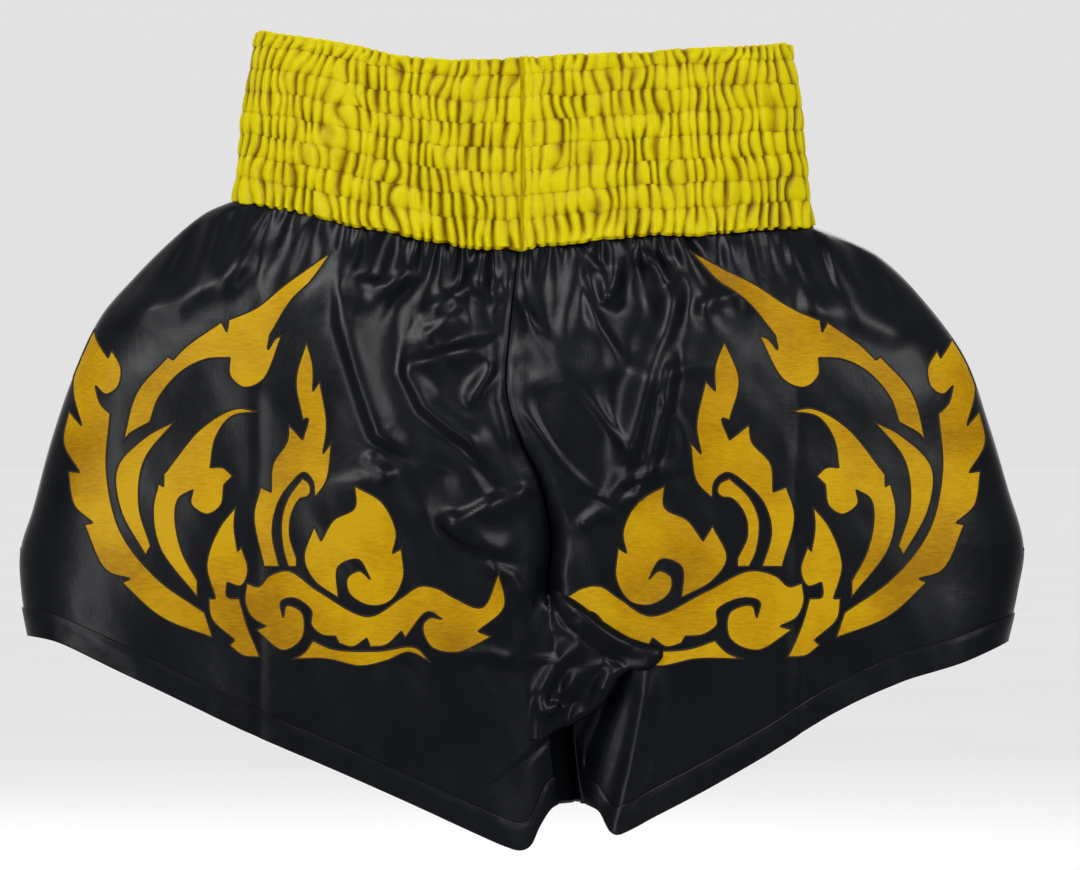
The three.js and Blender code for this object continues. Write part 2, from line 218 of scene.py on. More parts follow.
def depth(side, share, z):
    """Half of the garment's depth, as in the CAD part."""
    below = np.maximum(0, band_seam(across(side, share, z)) - z)
    swell = mix(WAIST_DEPTH - BAND_BACK, LEG_DEPTH, smooth(below, 0, BILLOW))
    parted = smooth(-z, -PARTING_Z, -CROTCH_Z)
    oval = roundness(share, mix(2, SQUARENESS, smooth(below, 0, BILLOW)))
    lobe = roundness(2 * share - 1, np.where(share < 0.5, INNER_SQUARENESS, SQUARENESS))
    joined = 1 - smooth(-z, -CROTCH_Z, -CROTCH_Z + GUSSET_SPREAD)
    crotch = np.where(share < 0.5, CROTCH_DEPTH / LEG_DEPTH * joined * (1 - lobe), 0)
    vent = VENT_OPENING * smooth(-z, -VENT_TOP_Z, -VENT_TOP_Z + VENT_SPREAD) * share ** 6
    return swell * mix(oval, lobe + crotch, parted) + vent + GAP


def gusset_share(z):
    return GUSSET_SHARE * smooth(-z, -CROTCH_Z, -CROTCH_Z + GUSSET_SPREAD)


# ------------------------------------------------------------------ folds of the body
# Ridges of the front: a line of [X, height] points, how far the ridge stands proud, and its half-widths on
# the left and on the right of the line as it is followed.
FRONT_RIDGES = [
    ([[-106, -62], [-103, -101], [-91, -139], [-82, -165], [-50, -183]], 5, 8, 4),
    ([[-64, -107], [-65, -130], [-56, -148], [-41, -161], [-30, -168], [-17, -187]], 5.5, 7, 3.5),
    ([[-65, -126], [-36, -117], [-9, -110]], 4, 3, 7),
    ([[-59, -111], [-42, -100], [-30, -93]], 3, 3, 6),
    ([[-50, -210], [-36, -215], [-13, -203], [10, -195]], 4, 3, 7),
    ([[-50, -210], [-36, -223], [-19, -229], [-1, -235]], 4, 7, 3),
    ([[-90, -175], [-74, -193]], 2.5, 4, 4),
    ([[-14, -122], [-26, -140], [-32, -151]], 3, 2.5, 4),
    ([[-8, -128], [-12, -146], [-6, -166], [2, -176]], 3.5, 2.5, 4),
    ([[-100, -76], [-78, -80], [-62, -72], [-60, -52]], 3, 3, 5),
    ([[-10, -78], [-24, -76], [-34, -70]], 2.5, 3, 4),
    ([[-40, -88], [-30, -78], [-18, -84], [-8, -80]], 3, 3, 4),
    ([[30, -56], [44, -70], [50, -84], [56, -66]], 3, 3, 4),
    ([[62, -58], [78, -66], [84, -80]], 3, 3, 4),
    ([[46, -84], [58, -92]], 2.5, 3, 3),
    ([[98, -98], [110, -86], [126, -84], [140, -92]], 3, 3, 5),
    ([[-22, -240], [-6, -246], [4, -262]], 3, 3, 3),
    ([[92, -60], [90, -81], [84, -99], [74, -128], [64, -168], [57, -196]], 7.5, 5, 8),
    ([[88, -110], [84, -140], [77, -170], [72, -190]], 4.5, 3, 4),
    ([[60, -194], [72, -188], [66, -200], [50, -208]], 3.5, 3, 3),
    ([[47, -206], [57, -192], [66, -190]], 3, 4, 3),
    ([[32, -219], [45, -210], [57, -212]], 3, 4, 3),
    ([[-244, -99], [-200, -88], [-170, -72], [-147, -54]], 5, 12, 7),
    ([[154, -91], [189, -94], [230, -111]], 4, 10, 8),
    ([[40, -62], [30, -100], [26, -150], [30, -190]], 3, 12, 12),
    ([[-20, -62], [-34, -85], [-60, -96]], 3, 6, 4),
    ([[-38, -290], [-18, -291], [-2, -296]], 2.2, 3, 3),
]
# The cloth of the left leg's inner side is pleated: a sharp fold, and the hollow beside it.
LEFT_INNER_FOLDS = [
    ([[77, -285], [73, -300], [68, -328], [62, -357], [54, -388], [46, -430]], 5, 7, 4),
    ([[62, -285], [54, -305], [46, -324], [38, -345], [31, -374], [28, -430]], -12, 5, 7),
]
RIGHT_INNER_FOLDS = [([[22, -334], [4, -351], [-12, -364], [-30, -376]], -1.2, 1.6, 1.6)]
PACKING_CREASES = (-151, 158)  # where the folded shorts lay creased, X
RIDGE_SOFTNESS = 1.25  # every half-width is drawn this many times as wide
RIDGE_END = 0.22  # the share of its length over which a ridge fades out at each end
BACK_FOLDS = 9  # long folds that fall from the waist at the back
BACK_WRINKLES = 4  # pairs of wrinkles that spread from the crotch at the back


def follow(path, x, z):
    """How far points are from a path, on which side of it (1 is left), and how far along it, from 0 to 1."""
    path = np.array(path, float)
    lengths = np.linalg.norm(np.diff(path, axis=0), axis=1)
    best = np.full(x.shape, np.inf)
    side_of_path = np.zeros(x.shape)
    along_path = np.zeros(x.shape)
    done = 0.0
    for a, b, length in zip(path[:-1], path[1:], lengths):
        d = (b - a) / length
        t = np.clip((x - a[0]) * d[0] + (z - a[1]) * d[1], 0, length)
        dx, dz = x - a[0] - t * d[0], z - a[1] - t * d[1]
        distance = np.hypot(dx, dz)
        nearer = distance < best
        best = np.where(nearer, distance, best)
        side_of_path = np.where(nearer, np.sign(d[0] * dz - d[1] * dx), side_of_path)
        along_path = np.where(nearer, (done + t) / lengths.sum(), along_path)
        done += length
    return best, side_of_path, along_path


def ridge(x, z, path, height, left_width, right_width):
    """A soft ridge along a path; it fades out at both ends."""
    distance, side_of_path, along_path = follow(path, x, z)
    width = RIDGE_SOFTNESS * np.where(side_of_path > 0, left_width, right_width)
    ends = smooth(along_path, 0, RIDGE_END) * smooth(1 - along_path, 0, RIDGE_END)
    return height * np.exp(-((distance / width) ** 2)) * (0.15 + 0.85 * ends)


def gathers(x, z, facing, below):
    """Pleats that the waist seam throws, small and sharp at the seam and merging into soft folds below."""
    seed = 11 if facing == FRONT else 12
    lean = 0.35 * below * np.clip(x / 150, -1, 1)  # they fan out towards the sides
    from_seam = x - lean + 4 * noise(x / 30, below / 30, seed)
    fine = np.cos(2 * np.pi * from_seam / 9.5 + 2.5 * noise(x / 22, below / 40, seed + 2))
    wide = np.cos(2 * np.pi * from_seam / 25 + 2.5 * noise(x / 40, below / 60, seed + 3))
    strength = 0.5 + 0.5 * noise(x / 30, 3.5, seed + 4)
    reach = 0.5 + 0.5 * noise(x / 16, 9.5, seed + 5)
    fine_fade = 1.1 * (1 - smooth(below, 0, 14 + 26 * reach)) * (0.4 + 0.6 * reach)
    wide_fade = 2.8 * smooth(below, -4, 12) * (1 - smooth(below, 14, 40 + 60 * strength))
    sharpened = np.sign(wide) * np.abs(wide) ** 0.8
    return fine * fine_fade + sharpened * wide_fade * (0.35 + 0.85 * strength)


def front_folds(side, x, z, rest):
    """The front's drawn folds, and the creases of its packing, which fade out in the gathers."""
    inner_folds = LEFT_INNER_FOLDS if side == "left" else RIGHT_INNER_FOLDS
    total = sum(ridge(x, z, *fold) for fold in FRONT_RIDGES + inner_folds)
    for middle in PACKING_CREASES:
        off = x - middle - 1.5 * noise(0.5, z / 30, 46)
        total = total - (0.7 + 0.6 * noise(1.5, z / 14, 47)) * np.exp(-((off / 4) ** 2)) * rest
    return total


def back_folds(x, z):
    """The back's long folds, and the wrinkles that spread from the crotch to both sides."""
    total = np.zeros(x.shape)
    for k in range(BACK_FOLDS):
        start = -150 + 38 * k + 18 * noise(k * 1.7, 0.3, 41)
        lean = 45 * noise(k * 2.3, 1.3, 42)
        low = -170 - 45 * noise(k * 3.1, 2.2, 43)
        path = [[start, -62], [start + lean * 0.4, -110], [start + lean, low]]
        total = total + ridge(x, z, path, 4, 8, 4.5)
    crotch_x = 12
    for k in range(BACK_WRINKLES):
        z0 = -200 - 19 * k + 9 * noise(k * 2.7, 5.2, 44)
        for way, pick in ((1, 4.2), (-1, 6.4)):
            reach = 55 + 45 * noise(k * 1.9, pick, 44)
            drop = 22 * noise(k * 2.1, pick, 45)
            half_way = [crotch_x + way * 0.5 * reach, z0 - 8 + drop / 3]
            path = [[crotch_x, z0], half_way, [crotch_x + way * reach, z0 + drop]]
            total = total + ridge(x, z, path, 2.5 + 1.2 * noise(k * 3.3, pick, 46), 6, 4)
    return total


def relief(side, share, x, z, facing):
    """How far the cloth stands proud of its smooth shape."""
    below = band_seam(x) - z
    seed = 21 if facing == FRONT else 31
    rest = smooth(below, 4, 40)
    central = (1 - smooth(np.abs(x), 70, 135)) * (1 - smooth(-z, 240, 330))
    broad = 3.2 * noise(x / 85, z / 70, seed)
    middling = mix(1.4, 3.4, central) * noise((x + 0.4 * z) / 34, z / 50, seed + 1)
    small = mix(0.35, 0.9, central) * noise((x + 0.3 * z) / 13, z / 19, seed + 2)
    level = noise((x + 0.7 * z) / 42, (z - 0.3 * x) / 60, seed + 5)
    crinkle = 3.0 * np.exp(-((level / 0.13) ** 2)) * (0.5 + 0.5 * noise(x / 50, z / 50, seed + 6)) * central
    total = gathers(x, z, facing, below) + rest * (broad + middling + small + crinkle)
    total = total + (front_folds(side, x, z, rest) if facing == FRONT else back_folds(x, z))
    edges = smooth(share, 0, 0.04) * smooth(1 - share, 0, 0.06)
    width = OUTER[side](z) * share
    seam = -1.0 * np.exp(-((width / 1.6) ** 2))
    pucker = 0.5 * noise(0.5, z / 7, seed + 8) * np.exp(-((width / 9) ** 2))
    return total * (0.15 + 0.85 * edges) + seam + pucker


# ------------------------------------------------------------------ materials
def principled(name, values):
    """A new material and its Principled shader, with the given constant inputs."""
    material = bpy.data.materials.new(name)
    material.use_nodes = True
    shader = material.node_tree.nodes["Principled BSDF"]
    for key, value in values.items():
        shader.inputs[key].default_value = value
    return material, shader


def node(material, kind, inputs=None, **settings):
    """A new node. Its inputs are constants or the outputs of other nodes."""
    made = material.node_tree.nodes.new(kind)
    for key, value in settings.items():
        setattr(made, key, value)
    for key, value in (inputs or {}).items():
        if isinstance(value, bpy.types.NodeSocket):
            material.node_tree.links.new(value, made.inputs[key])
        else:
            made.inputs[key].default_value = value
    return made


def link(material, output, socket):
    material.node_tree.links.new(output, socket)


def colour(material, shader, factor, stops):
    """Colours a shader by a ramp of (position, colour) stops."""
    made = node(material, "ShaderNodeValToRGB", {"Fac": factor})
    elements = made.color_ramp.elements
    while len(elements) < len(stops):
        elements.new(0.5)
    for element, (position, rgb) in zip(elements, stops):
        element.position = position
        element.color = (*rgb, 1)
    link(material, made.outputs["Color"], shader.inputs["Base Color"])


def roughen(material, shader, factor, low, high):
    """Lets a shader's roughness vary between two values."""
    made = node(material, "ShaderNodeMapRange", {"Value": factor, "To Min": low, "To Max": high})
    link(material, made.outputs[0], shader.inputs["Roughness"])


def math_node(material, operation, a, b):
    return node(material, "ShaderNodeMath", {0: a, 1: b}, operation=operation).outputs[0]


def object_noise(material, scale, detail=3.0, stretch=(1, 1, 1)):
    place = node(material, "ShaderNodeTexCoord").outputs["Object"]
    stretched = node(material, "ShaderNodeMapping", {"Vector": place, "Scale": stretch}).outputs[0]
    made = node(material, "ShaderNodeTexNoise", {"Vector": stretched, "Scale": scale, "Detail": detail})
    return made.outputs["Fac"]


def ribs(material, scale, distortion, direction, detail_scale=1.0):
    """Height of parallel ribs."""
    place = node(material, "ShaderNodeTexCoord").outputs["Object"]
    inputs = {"Vector": place, "Scale": scale, "Distortion": distortion, "Detail Scale": detail_scale}
    return node(material, "ShaderNodeTexWave", inputs, bands_direction=direction).outputs["Fac"]


RIBS_PER_METRE = 3.3  # about how many ribs a scale of 1 gives


def weave(material, pitch):
    """Height of a satin weave: long floats one way, with a fine thread pitch in metres."""
    scale = 1 / pitch / RIBS_PER_METRE
    warp = ribs(material, scale, 1.5, "Z", 2.0)
    weft = ribs(material, scale * 0.4, 1.0, "X", 2.0)
    return math_node(material, "ADD", warp, math_node(material, "MULTIPLY", weft, 0.4))


def add_bump(material, shader, heights):
    """Chains bumps, each a (height socket, strength, distance in metres)."""
    normal = None
    for height, strength, distance in heights:
        inputs = {"Height": height, "Strength": strength, "Distance": distance}
        if normal is not None:
            inputs["Normal"] = normal
        normal = node(material, "ShaderNodeBump", inputs).outputs["Normal"]
    link(material, normal, shader.inputs["Normal"])


def black_satin():
    material, shader = principled("black_satin", {"Specular IOR Level": 0.05, "Anisotropic": 0.3})
    cloud = object_noise(material, 22, 4)
    colour(material, shader, cloud, [(0.3, (0.0016, 0.0021, 0.0034)), (0.7, (0.0034, 0.0042, 0.0060))])
    roughen(material, shader, object_noise(material, 60, 5), 0.25, 0.36)
    add_bump(material, shader, [
        (object_noise(material, 150, 4), 0.30, 0.0006),
        (weave(material, 0.0009), 0.15, 0.0001),
    ])
    return material


def yellow_satin():
    """Its colour deepens in the creases: painted shade, a number that each point of a mesh carries for this
    material to read.
    """
    material, shader = principled("yellow_satin", {"Specular IOR Level": 0.03})
    crease_shade = node(material, "ShaderNodeAttribute", attribute_name="crease_shade").outputs["Fac"]
    patch = math_node(material, "MULTIPLY", object_noise(material, 90, 3), 0.4)
    tone = math_node(material, "ADD", crease_shade, math_node(material, "SUBTRACT", patch, 0.2))
    # Painted shade: the ramp darkens from yellow to brown as the crease shade grows; the noise patches vary
    # the tone at random.
    colour(material, shader, tone, [
        (0.0, (0.57, 0.485, 0.0)), (0.25, (0.48, 0.39, 0.0)),
        (0.5, (0.32, 0.225, 0.0)), (0.9, (0.13, 0.075, 0.0)),
    ])
    roughen(material, shader, object_noise(material, 160, 4), 0.36, 0.50)
    add_bump(material, shader, [(weave(material, 0.0007), 0.2, 0.0001)])
    return material


def gold_satin():
    material, shader = principled("gold_satin", {"Specular IOR Level": 0.03})
    cloud = object_noise(material, 16, 3)
    fibre = object_noise(material, 380, 4, (0.5, 1, 2.5))
    tone = math_node(material, "ADD", math_node(material, "MULTIPLY", cloud, 0.7),
                     math_node(material, "MULTIPLY", fibre, 0.3))
    colour(material, shader, tone, [
        (0.36, (0.26, 0.125, 0.0)), (0.48, (0.37, 0.195, 0.0)), (0.6, (0.46, 0.27, 0.001)),
    ])
    roughen(material, shader, fibre, 0.42, 0.58)
    add_bump(material, shader, [
        (fibre, 0.45, 0.0004),
        (weave(material, 0.0008), 0.2, 0.0001),
    ])
    return material


def thread(name, rgb):
    material, shader = principled(name, {"Roughness": 0.6, "Specular IOR Level": 0.1})
    twist = ribs(material, 900, 0.5, "DIAGONAL")
    # Painted shade: the thread is darker in the grooves of its twist, where the bump is low.
    groove_shade = tuple(c * 0.6 for c in rgb)
    colour(material, shader, twist, [(0.2, groove_shade), (0.8, rgb)])
    add_bump(material, shader, [(twist, 0.5, 0.0002)])
    return material


def woven_elastic():
    material, shader = principled("woven_elastic", {"Roughness": 0.8, "Sheen Weight": 0.3})
    cords = ribs(material, 160, 0.4, "Z")
    # Painted shade: the colour darkens in the grooves between the cords, where the bump is low.
    colour(material, shader, cords, [(0.1, (0.6, 0.58, 0.52)), (0.6, (0.82, 0.8, 0.74))])
    add_bump(material, shader, [(cords, 0.6, 0.0004)])
    return material


BLACK = black_satin()
YELLOW = yellow_satin()
GOLD = gold_satin()
EDGE_THREAD = thread("applique_edge_thread", (0.016, 0.008, 0.002))
BLACK_THREAD = thread("black_thread", (0.006, 0.006, 0.008))
YELLOW_THREAD = thread("yellow_thread", (0.36, 0.28, 0.0))
ELASTIC = woven_elastic()


# ------------------------------------------------------------------ leg panels and hems
PANEL_COLUMNS, PANEL_ROWS = 170, 200
TUCK = 9  # the panels reach this far up under the ruffle
TUCK_DEPTH = 2.5  # how far they lie behind it there
TUCK_NARROWER = 0.028  # the share of their width by which they draw in there
SATIN = 0.5  # the cloth's thickness
HEM_ROWS = 18
HEM_CLOTH = 1.5  # the thickness of the turned-up hem


def leg_surface(side, facing, share, z):
    """Points of a leg's outer face. Above the waist seam it draws in under the waistband's ruffle."""
    x = across(side, share, z)
    out = depth(side, share, z) + relief(side, share, x, z, facing)
    tucked = smooth(z - band_seam(x), -2, TUCK)
    drawn = 1 - TUCK_NARROWER * tucked * share
    # Down to the vent the side seam is closed: the two faces lap by the gap there, and below they keep it.
    least = np.where(z > VENT_TOP_Z, -GAP / 2, GAP / 2)
    sewn = mix(out, least, smooth(share, 0.992, 1) * (z > VENT_TOP_Z))
    return np.stack([x * drawn, facing * np.maximum(sewn - TUCK_DEPTH * tucked, least), z], -1)


def panel_grid(side, start, end, rows):
    """A grid of share and height. 0 is the panel's top, 1 the hem's upper edge and 2 its lower edge."""
    u = np.linspace(0, 1, PANEL_COLUMNS)
    share = mix((1 - np.cos(np.pi * u)) / 2, u, 0.6)
    top = band_seam(SIGN[side] * SEAM_REACH * share) + TUCK
    bottom = HEM[side](share)
    hem_at = bottom + HEM_HEIGHT
    v = np.linspace(start, end, rows)[:, None]
    z = np.where(v < 1, mix(top, hem_at, v), mix(hem_at, bottom, v - 1))
    return mix(gusset_share(z), 1, share), z


def cloth(piece, node_name, thickness=0.0):
    """Thickens a piece if a thickness is given, attaches it to the body, and hides the CAD node it takes the
    place of, if one is named.
    """
    if thickness:
        thicken(piece, thickness)
    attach(piece, "root")
    if node_name:
        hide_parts(node_name)
    return piece


def leg_panel(side, facing):
    share, z = panel_grid(side, 0, 1.15, PANEL_ROWS)
    name = f"{FACE_NAME[facing]}_panel_{side}"
    points = leg_surface(side, facing, share, z)
    panel = grid_object(name + "_cloth", points, BLACK, SIGN[side] * facing > 0)
    return cloth(panel, name, SATIN)


def hem_stand(x, z, v):
    """How far the turned-up hem stands off the panel's face."""
    return 0.15 + 0.6 * smooth(v, 1, 1.3) + 0.15 * noise(x / 6, z / 9, 51) * smooth(v, 1, 1.2)


def leg_hem(side, facing):
    share, z = panel_grid(side, 1, 2, HEM_ROWS)
    points = leg_surface(side, facing, share, z)
    v = np.linspace(1, 2, HEM_ROWS)[:, None]
    sewn_in = smooth(np.linspace(0, 1, PANEL_COLUMNS), -0.01, 0.03)  # flat where the gusset is sewn to it
    points[..., 1] += facing * hem_stand(points[..., 0], z, v) * sewn_in
    name = f"{FACE_NAME[facing]}_hem_{side}"
    hem = grid_object(name + "_cloth", points, BLACK, SIGN[side] * facing > 0)
    return cloth(hem, name, HEM_CLOTH)


panels = {(side, facing): leg_panel(side, facing) for side in SIDES for facing in (FRONT, BACK)}
hems = {(side, facing): leg_hem(side, facing) for side in SIDES for facing in (FRONT, BACK)}


# ------------------------------------------------------------------ waistband
BAND_COLUMNS, BAND_ROWS = 600, 150
HALF_LENGTH = 350  # of the waistband, from the centre front round to the centre back
PLEAT = 6.6  # typical width of a gather
ROLL_STEPS = 6  # rows of points in the rolled edges at the band's top and foot
TOP_ROLL, FOOT_ROLL = 1.6, 0.8  # their radii
LINING_COLUMNS, LINING_ROWS = 330, 90
ROW_HEIGHT = (BAND_HEIGHT - HEADER_HEIGHT - RUFFLE_HEIGHT) / ROWS
STITCH_LINES = (HEADER_HEIGHT + ROW_HEIGHT * np.arange(ROWS + 1)) / BAND_HEIGHT


def even_angles(share_along):
    """Angles from the centre front to the centre back, evenly spaced along the band's oval."""
    angle = np.linspace(0, np.pi, 2000)
    step = np.hypot(HALF_WAIST * np.cos(angle), WAIST_DEPTH * np.sin(angle))
    along = np.concatenate([[0], np.cumsum((step[1:] + step[:-1]) / 2)])
    return np.interp(share_along, along / along[-1], angle)


def band_point(side, angle, share, stand):
    """Points at an angle round the band and a share of its height down, standing off the elastic."""
    sine = SIGN[side] * np.sin(angle)
    z = mix(band_top(sine * TOP_REACH), band_seam(sine * SEAM_REACH), share)
    lean_x, lean_y = np.sin(angle) * WAIST_DEPTH, np.cos(angle) * HALF_WAIST
    length = np.hypot(lean_x, lean_y)
    x = sine * band_width(z) + SIGN[side] * stand * lean_x / length
    y = -np.cos(angle) * WAIST_DEPTH - stand * lean_y / length
    return np.stack(np.broadcast_arrays(x, y, z), -1)


def seed_of(side):
    return 61 if side == "right" else 71


def shirring(side, s, share):
    """How the gathered cloth lies at a distance s along the band: its height from 0 in a crease to 1 on a
    puff, how far it is from the pinch of a stitch line, from 0 to 1, and which row it is in."""
    seed = seed_of(side)
    row = np.interp(share, [0, *STITCH_LINES, 1], np.arange(ROWS + 3))
    index, within = np.floor(row), row - np.floor(row)
    irregular = 0.5 * noise(s / 17, 0.5, seed) + 0.25 * noise(s / 8.5, 1.5, seed + 1)
    drift = 0.42 * noise(s / 12, row * 0.9, seed + 2) + 0.6 * noise(s / 42, row * 0.45, seed + 3)
    jump = 0.26 * noise(s / 8, index * 7.31 + 0.5, seed + 4)
    phase = s / PLEAT + irregular + drift + jump
    puff = np.abs(np.sin(np.pi * phase)) ** 0.72
    crease_depth = np.clip(0.68 + 0.55 * noise(s / 7.5, row * 1.25, seed + 5), 0.28, 1)
    height = 1 - crease_depth * (1 - puff)
    pinch = np.sin(np.pi * within) ** 0.42
    pinch = np.where(row < 1, np.maximum(pinch, 1 - within), pinch)
    pinch = np.where(row > ROWS + 1, np.sin(np.pi / 2 * np.clip(within, 0, 1)) ** 0.42, pinch)
    return height, pinch, row


def band_stand(side, s, share):
    """How far the band's outer face stands off the elastic, how much painted shade it gets (darker in its
    creases and by its stitch lines, lighter on its swells), how high its gathers are, its row, and 1 where
    it is the ruffle."""
    height, pinch, row = shirring(side, s, share)
    ruffle = smooth(row, ROWS + 1, ROWS + 2)
    lively = 1 + 0.3 * noise(s / 24, row * 0.7, 81)
    pleat = mix(2.0, 3.1, pinch) * lively
    swell = 0.5 * noise(s / 15, row * 1.1, seed_of(side) + 7)
    stand = 2.2 + 0.7 * pinch + pleat * (height - 0.55) + 1.6 * ruffle * (height - 0.3) + swell
    # Painted shade: the colour darkens in the creases and by the stitch lines and lightens where the cloth
    # swells; at the centre seam it is held at a middling shade.
    crease_shade = (1 - height) * mix(1.5, 1.0, pinch) + 0.3 * (1 - pinch) ** 2 - 0.25 * swell
    from_seam = np.minimum(s, HALF_LENGTH - s)
    flatter = mix(0.55, 1, smooth(from_seam, 2, 16)) if side == "left" else 1
    at_seam = smooth(from_seam, 0, 1.6)
    stand = mix(1.3, 2.2 + (stand - 2.2) * flatter, at_seam)
    return np.maximum(stand, 1.0), mix(0.35, crease_shade * flatter, at_seam), height, row, ruffle


def waistband(side):
    s = np.linspace(0, HALF_LENGTH, BAND_COLUMNS)[None, :]
    share = np.linspace(0, 1, BAND_ROWS)[:, None]
    angle = even_angles(s / HALF_LENGTH)
    stand, crease_shade, height, row, ruffle = band_stand(side, s, share)
    points = band_point(side, angle, share, stand)
    header = 1 - smooth(row, 0, 1)
    scallop = 1.5 * noise(s / 11, 0.5, 82) + 1.6 * (height - 0.5)
    points[..., 2] -= ruffle * (scallop - 0.6) - header * 0.7 * scallop
    points[..., 2] += 1.1 * noise(s / 9, row * 0.9, 83) * smooth(row, 0, 1) * (1 - ruffle)
    top_roll, foot_roll = [], []
    for turn in np.linspace(0.2, 1, ROLL_STEPS) * math.pi:
        rise, back = math.sin(turn), 1 - math.cos(turn)
        turned_in = max(0, turn / math.pi - 0.7)
        above = band_point(side, angle, share[:1], stand[:1] - TOP_ROLL * back)
        above[..., 2] = points[:1, :, 2] + 1.2 * rise - 4 * turned_in
        top_roll.insert(0, above)
        under = band_point(side, angle, share[-1:], stand[-1:] - FOOT_ROLL * back)
        under[..., 2] = points[-1:, :, 2] - rise + 5 * turned_in
        foot_roll.append(under)
    grid = np.concatenate(top_roll + [points] + foot_roll)
    # The rolled top and foot take painted shade from the creases of the rows beside them.
    top_shade = np.repeat(crease_shade[:1], ROLL_STEPS, 0) * 0.7
    foot_shade = np.repeat(crease_shade[-1:], ROLL_STEPS, 0) * 0.8
    band = grid_object(f"waistband_{side}", grid, YELLOW, side == "left")
    store_value(band, "crease_shade", np.clip(np.concatenate([top_shade, crease_shade, foot_shade]), 0, 1))
    return cloth(band, f"waistband_casing_{side}")


def waistband_lining(side):
    """The casing's inner face, which lies flatter."""
    s = np.linspace(0.3, HALF_LENGTH - 0.3, LINING_COLUMNS)[None, :]
    share = np.linspace(0.02, 0.97, LINING_ROWS)[:, None]
    height, pinch, _ = shirring(side, s, share)
    stand = -BAND_BACK + 1.0 - 0.5 * pinch - 1.5 * height * pinch
    points = band_point(side, even_angles(s / HALF_LENGTH), share, stand)
    lining = grid_object(f"waistband_lining_{side}", points, YELLOW, side == "right")
    # Painted shade: the lining's colour darkens in its creases.
    store_value(lining, "crease_shade", np.clip((1 - height) * 0.9, 0, 1))
    return cloth(lining, None)


bands = {side: waistband(side) for side in SIDES}
linings = {side: waistband_lining(side) for side in SIDES}


# ------------------------------------------------------------------ flame-scroll applique
# Each flame is a ring of smooth strokes that meet in points and notches. A stroke starts where the one
# before it ends, and lists the [distance outward from the pattern's middle, height] points on its way.
FLAMES = {
    "outer_leaf": [
        [[242, -110], [235, -121]], [[233, -116]], [[227, -127], [229, -138], [236, -142], [242, -137]],
        [[239, -147], [233, -153]], [[235, -186], [227, -220], [206, -247], [178, -267]], [[173, -282]],
        [[203, -270], [226, -250]], [[221, -248]], [[235, -243], [248, -217]], [[243, -216]],
        [[254, -206], [258, -186]], [[251, -187]], [[261, -170], [258, -151]], [[250, -160]],
        [[256, -138], [253, -116], [245, -100]],
    ],
    "upper_arm": [
        [[132, -78], [149, -92], [165, -99]], [[166, -106]], [[169, -100]], [[189, -114], [197, -122]],
        [[200, -120]], [[218, -141], [226, -170]], [[222, -165], [210, -158]],
        [[205, -144], [192, -129], [178, -122], [164, -121]],
        [[164, -131], [156, -138], [145, -134], [134, -108]], [[138, -110], [142, -116], [141, -108]],
        [[129, -88], [117, -76], [105, -59]],
    ],
    "crescent": [
        [[212, -166], [229, -184], [227, -208], [212, -235]], [[209, -229]],
        [[216, -206], [213, -180], [195, -157]],
    ],
    "second_flame": [
        [[160, -150], [180, -161], [202, -188]], [[202, -195]], [[205, -193]],
        [[208, -208], [204, -230], [182, -259]], [[182, -249]],
        [[191, -232], [195, -212], [193, -202], [185, -197]],
        [[186, -205], [177, -211], [169, -206], [167, -194]], [[162, -189]], [[168, -184], [175, -184]],
        [[172, -167], [163, -155], [147, -152]],
    ],
    "small_flame": [
        [[170, -219], [177, -240], [172, -259]], [[176, -259]], [[174, -271], [161, -283]], [[164, -286]],
        [[156, -292], [146, -293]], [[153, -276], [158, -259]], [[165, -258], [165, -250]],
        [[157, -252], [153, -243], [157, -229]], [[159, -232]], [[161, -218], [160, -206]],
    ],
    "tall_flame": [
        [[126, -134], [122, -157]], [[119, -156], [122, -168]], [[130, -159]],
        [[131, -169], [139, -182], [140, -198]], [[146, -195]], [[150, -212], [144, -241]], [[135, -241]],
        [[139, -221], [136, -205], [129, -194], [121, -187], [116, -192], [115, -202]],
        [[108, -192], [105, -169]], [[110, -176]],
        [[108, -160], [112, -134]], [[116, -140]], [[116, -126], [120, -111]],
    ],
    "inner_hook": [
        [[130, -201], [134, -214], [133, -231], [130, -241]], [[125, -241]], [[125, -236]],
        [[129, -223], [128, -211], [123, -202], [119, -201], [117, -198], [118, -193], [122, -190]],
    ],
    "bud": [
        [[76, -204], [68, -221], [70, -233]], [[65, -230]],
        [[64, -248], [72, -261], [84, -263], [95, -256], [96, -247], [89, -243], [83, -248]],
        [[90, -237], [101, -241], [101, -259]], [[115, -249], [121, -236], [115, -217]], [[111, -226]],
        [[104, -214], [92, -207], [92, -194]],
    ],
    "wave": [
        [[147, -252], [141, -246], [130, -243], [112, -255], [84, -269], [66, -259], [55, -252],
         [45, -253], [34, -259], [19, -264], [9, -243]], [[6, -264], [21, -278]], [[13, -281]],
        [[32, -290], [48, -287], [53, -275], [49, -270], [42, -271]], [[50, -267], [63, -282]],
        [[65, -278]], [[74, -286], [83, -287]], [[85, -282]], [[93, -287], [101, -285]], [[103, -281]],
        [[111, -280], [117, -274], [117, -266], [127, -259], [134, -261], [133, -270]],
        [[131, -263], [122, -267], [122, -282], [133, -289], [149, -277]], [[143, -275]],
        [[151, -270], [155, -261], [154, -250]],
    ],
    "base_leaf": [
        [[121, -290], [116, -283]], [[104, -288], [79, -289], [57, -287], [48, -296]],
        [[61, -290], [74, -295], [89, -298], [108, -294], [128, -294]],
    ],
}
EDGE_STEP = 0.9  # spacing of points along an applique's edge
FILL_STEP = 1.5  # spacing of points inside it
ROW_STEP = 0.87  # rows of points are this much closer, so that the triangles are even
APPLIQUE_CLOTH = 0.7
